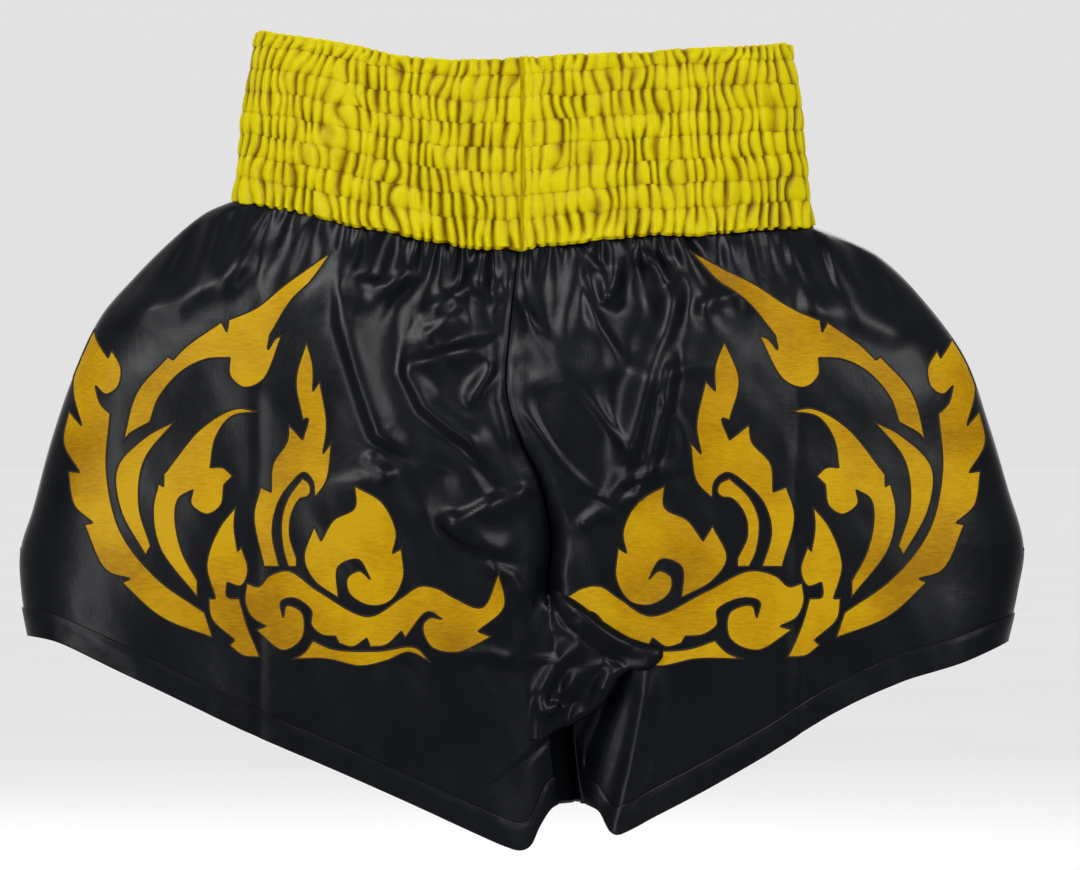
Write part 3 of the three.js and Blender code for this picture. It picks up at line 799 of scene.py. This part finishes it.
# The sewn edge: how far out from the outline and how high off the cloth its section's points lie.
RIM_SECTION = [(-0.7, 0.65), (-0.4, 0.95), (0.0, 1.0), (0.4, 0.7), (0.7, -0.1)]
SEAM_MARGIN, RIM_MARGIN = 1.6, 1.4  # how far the appliques and their edges stay from the side seam
INNER_MARGIN = 2.5  # how far the appliques stay from the inner leg


def placed(side, out, up):
    """Points of the pattern on one leg. The left leg's cloth lies flatter, so its pattern spreads wider."""
    if side == "left":
        out = out + mix(-6, 11, smooth(np.asarray(out, float), 95, 155))
    return np.stack([PATTERN_MIDDLE + SIGN[side] * out, np.asarray(up, float)], -1)


def smooth_stroke(knots):
    """Points along a centripetal Catmull-Rom curve through the knots, the first one left out."""
    knots = np.asarray(knots, float)
    padded = np.vstack([2 * knots[0] - knots[1], knots, 2 * knots[-1] - knots[-2]])
    out = []
    for i in range(len(knots) - 1):
        p0, p1, p2, p3 = padded[i:i + 4]
        steps = [max(np.linalg.norm(b - a), 1e-6) ** 0.5 for a, b in ((p0, p1), (p1, p2), (p2, p3))]
        t1, t2, t3 = np.cumsum(steps)
        count = max(2, int(np.ceil(np.linalg.norm(p2 - p1) / EDGE_STEP)))
        t = mix(t1, t2, np.arange(1, count + 1)[:, None] / count)
        a1 = (t1 - t) / t1 * p0 + t / t1 * p1
        a2 = (t2 - t) / (t2 - t1) * p1 + (t - t1) / (t2 - t1) * p2
        a3 = (t3 - t) / (t3 - t2) * p2 + (t - t2) / (t3 - t2) * p3
        b1 = (t2 - t) / t2 * a1 + t / t2 * a2
        b2 = (t3 - t) / (t3 - t1) * a2 + (t - t1) / (t3 - t1) * a3
        out.append((t2 - t) / (t2 - t1) * b1 + (t - t1) / (t2 - t1) * b2)
    return np.vstack(out)


def flame_outline(side, strokes):
    """The points along a flame's closed outline, on one leg."""
    start = strokes[-1][-1]
    points = []
    for stroke in strokes:
        knots = np.array([start] + stroke, float)
        points.append(smooth_stroke(placed(side, knots[:, 0], knots[:, 1])))
        start = stroke[-1]
    return np.vstack(points)


def leg_region(side):
    """The part of the front where the pattern can lie: short of the side seam and of the inner leg."""
    z = np.linspace(-50, -375, 60)
    outer = SIGN[side] * (OUTER[side](z) - SEAM_MARGIN)
    inner = MIDDLE(z) + SIGN[side] * INNER_MARGIN
    return np.vstack([np.stack([outer, z], -1), np.stack([inner, z], -1)[::-1]])


def counterclockwise(ring):
    x, z = ring.T
    area = np.sum(x * np.roll(z, -1) - np.roll(x, -1) * z)
    return ring if area > 0 else ring[::-1]


def fill(outline, step, region=None):
    """Triangles inside an outline, and inside a region too if one is given."""
    rings = [counterclockwise(ring) for ring in (outline, region) if ring is not None]
    low, high = outline.min(0), outline.max(0)
    xs = np.arange(low[0], high[0], step)
    zs = np.arange(low[1], high[1], step * ROW_STEP)
    inner = np.array([(x + (k % 2) * step / 2, z) for k, z in enumerate(zs) for x in xs])
    ends = np.cumsum([0] + [len(ring) for ring in rings]).tolist()
    numbers = [list(range(a, b)) for a, b in zip(ends[:-1], ends[1:])]
    points = [Vector(p) for p in np.vstack([*rings, inner])]
    made = delaunay_2d_cdt(points, [], numbers, 0, 1e-5, True)
    verts = np.array([tuple(v) for v in made[0]])
    wanted = set(range(len(rings)))
    faces = [tuple(f) for f, origin in zip(made[2], made[5]) if wanted <= set(origin)]
    used = sorted({i for f in faces for i in f})
    new = {old: k for k, old in enumerate(used)}
    return verts[used], [tuple(new[i] for i in f) for f in faces]


def boundary_rings(faces):
    """Ordered rings of the points on the edge of a set of triangles."""
    once = {}
    for f in faces:
        for a, b in ((f[0], f[1]), (f[1], f[2]), (f[2], f[0])):
            if (b, a) in once:
                del once[(b, a)]
            else:
                once[(a, b)] = True
    after = dict(once.keys())
    rings = []
    while after:
        start, at = next(iter(after.items()))
        del after[start]
        ring = [start]
        while at != start and at in after:
            ring.append(at)
            at = after.pop(at)
        rings.append(ring)
    return rings


def ring_faces(first, second):
    """Quads between two rings, each given by the numbers of its points."""
    count = len(first)
    pairs = [(i, (i + 1) % count) for i in range(count)]
    return [(first[i], second[i], second[j], first[j]) for i, j in pairs]


def tree_of(obj):
    """A search tree of an object's mesh, in metres."""
    points = [v.co.copy() for v in obj.data.vertices]
    return BVHTree.FromPolygons(points, [tuple(p.vertices) for p in obj.data.polygons])


STIFFNESS = 1.3  # an applique bridges hollows in the cloth that are narrower than about twice this
MOST_BRIDGED = 0.8  # and stands off their bottom by no more than this
FORWARD = Vector((0, 1, 0))
START_Y = -0.3  # before everything, in metres
NEAR_Y = -0.03  # near the front's face


def drop_on(tree, plane_points, lift):
    """Lays points of the front plane on the cloth from the front, standing the given height off it."""
    out = []
    for x, z in plane_points:
        hit, normal, _, _ = tree.ray_cast(Vector((x * MM, START_Y, z * MM)), FORWARD)
        if hit is None:
            hit, normal, _, _ = tree.find_nearest(Vector((x * MM, NEAR_Y, z * MM)))
        if normal.y > 0:
            normal = -normal
        bridged = 0.0
        for dx, dz in ((STIFFNESS, 0), (-STIFFNESS, 0), (0, STIFFNESS), (0, -STIFFNESS)):
            beside = Vector(((x + dx) * MM, START_Y, (z + dz) * MM))
            near = tree.ray_cast(beside, FORWARD)[0]
            if near is not None:
                off = (near - hit).dot(normal) / MM
                bridged = max(bridged, min(off, MOST_BRIDGED))
        out.append(np.array(hit) / MM + np.array(normal) * (lift + bridged))
    return np.array(out)


def applique(side, name, strokes, tree):
    """A flame on one leg: its gold cloth and the sewn edge round it."""
    flat, faces = fill(flame_outline(side, strokes), FILL_STEP, leg_region(side))
    points = [drop_on(tree, flat, APPLIQUE_CLOTH)]
    kinds = [0] * len(faces)
    base = len(flat)
    for ring in boundary_rings(faces):
        line = flat[ring]
        tangent = np.roll(line, -1, 0) - np.roll(line, 1, 0)
        tangent /= np.maximum(np.linalg.norm(tangent, axis=1, keepdims=True), 1e-9)
        outward = np.stack([tangent[:, 1], -tangent[:, 0]], -1)
        rims = []
        for offset, lift in RIM_SECTION:
            rim = line + outward * offset
            limit = OUTER[side](rim[:, 1]) - RIM_MARGIN
            rim[:, 0] = SIGN[side] * np.minimum(SIGN[side] * rim[:, 0], limit)
            points.append(drop_on(tree, rim, lift))
            rims.append(range(base, base + len(ring)))
            base += len(ring)
        for first, second in zip(rims[:-1], rims[1:]):
            faces += ring_faces(first, second)
            kinds += [1] * len(ring)
    piece = make_mesh(f"{name}_{side}", np.vstack(points), faces, [GOLD, EDGE_THREAD], kinds)
    return cloth(piece, f"applique_{side}_{name}")


for side in SIDES:
    cloth_tree = tree_of(panels[side, FRONT])
    for name, strokes in FLAMES.items():
        applique(side, name, strokes, cloth_tree)


# ------------------------------------------------------------------ gusset and the lap over the crotch
GUSSET_COLUMNS, GUSSET_ROWS = 61, 141
GUSSET_CLOTH = 0.3


def gusset():
    """The saddle between the legs, from one hem over the crotch to the other."""
    facing = np.linspace(-1, 1, GUSSET_COLUMNS)
    bow = np.abs(facing) ** SQUARENESS
    sway = 2.2 * np.sin(2.6 * math.pi * facing) * (1 - facing ** 4)  # its walls hang wavy, not flat
    at_edge = smooth(np.abs(facing), 0.85, 1)
    rows = []
    for v in np.linspace(0, 1, GUSSET_ROWS):
        side = "right" if v < 0.5 else "left"
        z = mix(CROTCH_Z - GAP, HEM[side](0), np.full(facing.shape, abs(2 * v - 1)))
        share = gusset_share(z)
        seam = across(side, share, z)
        front, back = [relief(side, share, seam, z, face) for face in (FRONT, BACK)]
        half = depth(side, share, z) + (np.where(facing < 0, front, back) - 0.1) * at_edge
        x = across(side, share * bow, z) + sway * smooth(-z, 255, 285)
        rows.append(np.stack([x, facing * half, z], -1))
    piece = grid_object("crotch_gusset_cloth", np.array(rows), BLACK)
    return cloth(piece, "crotch_gusset", GUSSET_CLOTH)


def front_depth(x, z):
    """How far the front of either leg stands out at a point of the front plane."""
    out = np.zeros(x.shape)
    for side in SIDES:
        share = np.clip(share_at(side, x, z), 0, 1)
        inside = (x < MIDDLE(z)) == (side == "right")
        out = np.where(inside, depth(side, share, z) + relief(side, share, x, z, FRONT), out)
    return out


def bridged_depth(x, z):
    """The same, where a cloth lies across both legs and over the hollow between them."""
    reach = np.linspace(-26, 26, 27)
    return np.max([front_depth(x + r, z) - 0.3 * abs(r) for r in reach], axis=0)


# The lap is the right leg's inner cloth, folded over the left leg just below the crotch.
# Its points are [X, height].
LAP_FREE_EDGE = [
    [9, -247], [21, -254], [32, -261], [48, -273], [62, -281.5], [74, -285.5], [80, -288], [81, -292],
    [77, -297], [70, -300], [62, -300.5], [57, -304], [51, -314], [44, -322], [36, -328], [27, -333],
    [17, -338],
]
LAP_MERGED_EDGE = [[8, -341], [-4, -336], [-10, -318], [-11, -296], [-8, -272], [-2, -254]]
LAP_SEAM = [[10, -250], [25, -274], [37, -284], [45, -291], [58, -297]]
LAP_RIDGES = [
    ([[20, -254], [40, -272], [60, -285], [80, -291]], 2.2, 4, 5),
    ([[32, -281], [21, -296], [11, -312], [14, -324], [23, -318], [30, -305], [39, -299]], 4.2, 3.6, 3.6),
    ([[45, -292], [50, -302], [44, -316]], 3.2, 4, 4),
    ([[30, -268], [34, -284], [28, -300]], 1.8, 4, 4),
]
LAP_STEP = 1.6  # spacing of points inside the lap
LAP_LIFT = 1.7  # the lap lies this far off the legs at its free edge
LAP_FULLNESS = 3.0  # and this much further a little way in
LAP_SUNK = -1.6  # its merged edge lies this far off the right leg, so it is sunk in it
LAP_TURNED_UNDER = 4.5  # its edge is turned under by this depth, towards its middle
LAP_MIDDLE = np.array([20, -290])


def lap():
    free = smooth_stroke([LAP_MERGED_EDGE[-1]] + LAP_FREE_EDGE)
    merged = smooth_stroke([LAP_FREE_EDGE[-1]] + LAP_MERGED_EDGE)
    flat, faces = fill(np.vstack([free, merged]), LAP_STEP)
    x, z = flat.T
    from_free = follow(free, x, z)[0]
    from_merged = follow(merged, x, z)[0]
    from_seam = follow(LAP_SEAM, x, z)[0]
    rounded = np.sqrt(np.maximum(0, 1 - (1 - np.clip(from_free / 5, 0, 1)) ** 2))
    folds = sum(ridge(x, z, *fold) for fold in LAP_RIDGES)
    folds = folds - 1.5 * np.exp(-((from_seam / 1.3) ** 2)) + 0.4 * noise(x / 9, z / 9, 91)
    lift = LAP_LIFT + LAP_FULLNESS * rounded + folds * smooth(from_free, 0, 5)
    below_crotch = smooth(-z, 246, 268)
    over_gap = smooth(x, 0, 10) * smooth(-z, 300, 325)
    lift = mix(LAP_SUNK, lift, np.maximum(smooth(from_merged, 0, 32), over_gap) * below_crotch)
    bridging = np.maximum(smooth(from_merged, 2, 26), over_gap) * below_crotch
    out = mix(front_depth(x, z), bridged_depth(x, z), bridging) + lift
    ring = boundary_rings(faces)[0]
    edge = flat[ring]
    inward = edge + 0.12 * (LAP_MIDDLE - edge) * (from_merged[ring] > 3)[:, None]
    points = np.concatenate([
        np.stack([x, -out, z], -1),
        np.stack([inward[:, 0], -out[ring] + LAP_TURNED_UNDER, inward[:, 1]], -1),
    ])
    faces += ring_faces(ring, range(len(flat), len(points)))
    return cloth(make_mesh("crotch_lap", points, faces, [BLACK]), None)


gusset_cloth = gusset()
lap_cloth = lap()


# ------------------------------------------------------------------ stitching
ROD_SIDES = 6
ROD_POINTS = 2 * ROD_SIDES + 2


def capsules(name, starts, ends, radius, material):
    """One piece of many short stitches, each a six-sided rod with pointed ends."""
    starts, ends = np.asarray(starts, float), np.asarray(ends, float)
    axis = ends - starts
    axis /= np.linalg.norm(axis, axis=1, keepdims=True)
    helper = np.where(np.abs(axis[:, 2:3]) < 0.9, [[0, 0, 1.0]], [[1.0, 0, 0]])
    side_a = np.cross(axis, helper)
    side_a /= np.linalg.norm(side_a, axis=1, keepdims=True)
    side_b = np.cross(axis, side_a)
    turns = np.arange(ROD_SIDES) * math.tau / ROD_SIDES
    ring = radius * (np.cos(turns)[:, None, None] * side_a + np.sin(turns)[:, None, None] * side_b)
    inset = axis * radius
    points = np.concatenate([starts[None], starts + inset + ring, ends - inset + ring, ends[None]])
    points = points.transpose(1, 0, 2).reshape(-1, 3)
    faces = []
    for k in range(len(starts)):
        tip, near, far = ROD_POINTS * k, ROD_POINTS * k + 1, ROD_POINTS * k + 1 + ROD_SIDES
        for i in range(ROD_SIDES):
            j = (i + 1) % ROD_SIDES
            faces.append((tip, near + j, near + i))
            faces.append((near + i, near + j, far + j, far + i))
            faces.append((far + ROD_SIDES, far + i, far + j))
    piece = make_mesh(name, points, faces, [material])
    return cloth(piece, None)


def dashes(line, length, gap):
    """Cuts a line of points into stitches: their starts and ends."""
    along = np.concatenate([[0], np.cumsum(np.linalg.norm(np.diff(line, axis=0), axis=1))])
    starts = np.arange(0.5, along[-1] - length, length + gap)

    def at(distance):
        return np.stack([np.interp(distance, along, line[:, k]) for k in range(3)], -1)

    return at(starts), at(starts + length)


def stitch(name, lines, material, length, gap, radius):
    """Stitches along several lines, as one piece."""
    starts, ends = zip(*[dashes(line, length, gap) for line in lines])
    return capsules(name, np.vstack(starts), np.vstack(ends), radius, material)


def hem_stitching(side):
    lines = []
    for facing in (FRONT, BACK):
        share = np.linspace(0.006, 0.994, 400)
        z = HEM[side](share) + HEM_HEIGHT - 2.5
        line = leg_surface(side, facing, mix(gusset_share(z), 1, share), z)
        line[..., 1] += facing * (hem_stand(line[..., 0], z, 1.15) + 0.25)
        lines.append(line)
    return stitch(f"hem_stitching_{side}", lines, BLACK_THREAD, length=2.6, gap=0.9, radius=0.28)


def band_stitching(side):
    s = np.linspace(2.5, HALF_LENGTH - 2.5, 1400)
    angle = even_angles(s / HALF_LENGTH)
    lines = [band_point(side, angle, share, band_stand(side, s, share)[0] + 0.1) for share in STITCH_LINES]
    name = f"band_stitching_{side}"
    return stitch(name, lines, YELLOW_THREAD, length=2.2, gap=1.0, radius=0.22)


def bar_tack(side):
    """A short bar of zigzag thread that stops the vent from tearing upward."""
    count, long, high, radius = 12, 8.0, 2.4, 0.42
    x = SIGN[side] * (OUTER[side](VENT_TOP_Z) + 0.2)
    y = np.linspace(-long / 2, long / 2, count)
    swing = high / 2 * np.where(np.arange(count) % 2, 1, -1)
    starts = np.stack([np.full(count, x), y, VENT_TOP_Z + swing], -1)
    ends = np.stack([np.full(count, x), y + 0.7, VENT_TOP_Z - swing], -1)
    tack = capsules(f"bar_tack_{side}", starts, ends, radius, BLACK_THREAD)
    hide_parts(f"vent_bar_tack_{side}")


for sewn in (hem_stitching, band_stitching, bar_tack):
    for side in SIDES:
        sewn(side)

# ------------------------------------------------------------------ CAD nodes that stay
for name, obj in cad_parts.items():
    if name.startswith("elastic"):
        obj.data.materials.clear()
        obj.data.materials.append(ELASTIC)


# ------------------------------------------------------------------ floor, light and camera
FLOOR_REACH = 60000
FLOOR_Z = -520
HORIZON, ZENITH = 0.76, 0.96  # the world's brightness
AIM = (0, 0, -0.17)  # where every light points


def floor():
    material, shader = principled("pale_floor", {"Roughness": 0.9, "Specular IOR Level": 0.1})
    cloud = object_noise(material, 3, 2)
    colour(material, shader, cloud, [(0.3, (0.85, 0.85, 0.85)), (0.7, (0.87, 0.87, 0.87))])
    corners = [[FLOOR_REACH * a, FLOOR_REACH * b, FLOOR_Z] for a, b in ((-1, -1), (1, -1), (1, 1), (-1, 1))]
    obj = make_mesh("floor", corners, [(0, 1, 2, 3)], [material], shade_smooth=False)


def studio_world():
    """Pale all round and brighter overhead, so that the floor runs into it without an edge."""
    world = bpy.data.worlds.new("studio")
    world.use_nodes = True
    nodes, links = world.node_tree.nodes, world.node_tree.links
    split = nodes.new("ShaderNodeSeparateXYZ")
    links.new(nodes.new("ShaderNodeTexCoord").outputs["Generated"], split.inputs[0])
    tone = nodes.new("ShaderNodeMapRange")
    links.new(split.outputs["Z"], tone.inputs["Value"])
    tone.interpolation_type = "SMOOTHSTEP"
    tone.inputs["To Min"].default_value = HORIZON
    tone.inputs["To Max"].default_value = ZENITH
    background = nodes["Background"]
    background.inputs["Color"].default_value = (1, 1, 1, 1)
    links.new(tone.outputs[0], background.inputs["Strength"])
    bpy.context.scene.world = world


def softbox(name, place, width, height, radiance, gloss=True, diffuse=True):
    """An area light of a given brightness: its power follows from its size. It can be left out of the
    reflections, or light nothing but them."""
    data = bpy.data.lights.new(name, "AREA")
    data.shape = "RECTANGLE"
    data.size = width
    data.size_y = height
    data.energy = radiance * math.pi * width * height
    obj = bpy.data.objects.new(name, data)
    obj.location = place
    obj.rotation_euler = (Vector(AIM) - Vector(place)).to_track_quat("-Z", "Y").to_euler()
    obj.visible_glossy = gloss
    obj.visible_diffuse = diffuse
    bpy.context.scene.collection.objects.link(obj)


def lights():
    softbox("key", (-0.75, -1.45, 1.25), 0.55, 0.55, 14)
    softbox("fill", (1.0, -1.3, 1.0), 0.5, 0.5, 9)
    softbox("back", (-0.4, 1.6, 1.2), 0.7, 0.7, 8, gloss=False)
    softbox("gloss_left", (-0.9, -1.45, 1.0), 0.9, 0.6, 34, diffuse=False)
    softbox("gloss_right", (1.1, -1.4, 0.75), 0.7, 0.6, 26, diffuse=False)
    softbox("gloss_low", (-0.9, -1.7, -0.45), 0.5, 0.4, 14, diffuse=False)
    softbox("gloss_side_left", (-1.15, -1.6, 0.05), 0.35, 1.1, 26, diffuse=False)
    softbox("gloss_side_right", (0.95, -1.7, 0.0), 0.25, 1.1, 8, diffuse=False)
    softbox("gloss_back", (0.3, 1.9, 0.9), 1.2, 0.8, 4.5, diffuse=False)


VIEW_WIDTH = 0.6264
VIEW_MIDDLE = (0.0104, -0.1653)  # X and height at the middle of the picture
VIEW_Y = -0.02  # the picture is this wide here
LENS, SENSOR = 200, 36


def camera():
    data = bpy.data.cameras.new("camera")
    data.lens = LENS
    data.sensor_width = SENSOR
    data.clip_end = 200
    obj = bpy.data.objects.new("camera", data)
    distance = VIEW_WIDTH * LENS / SENSOR
    obj.location = (VIEW_MIDDLE[0], VIEW_Y - distance, VIEW_MIDDLE[1])
    obj.rotation_euler = (math.pi / 2, 0, 0)
    bpy.context.scene.collection.objects.link(obj)
    bpy.context.scene.camera = obj


floor()
studio_world()
lights()
camera()
bpy.context.scene.view_settings.view_transform = "Standard"
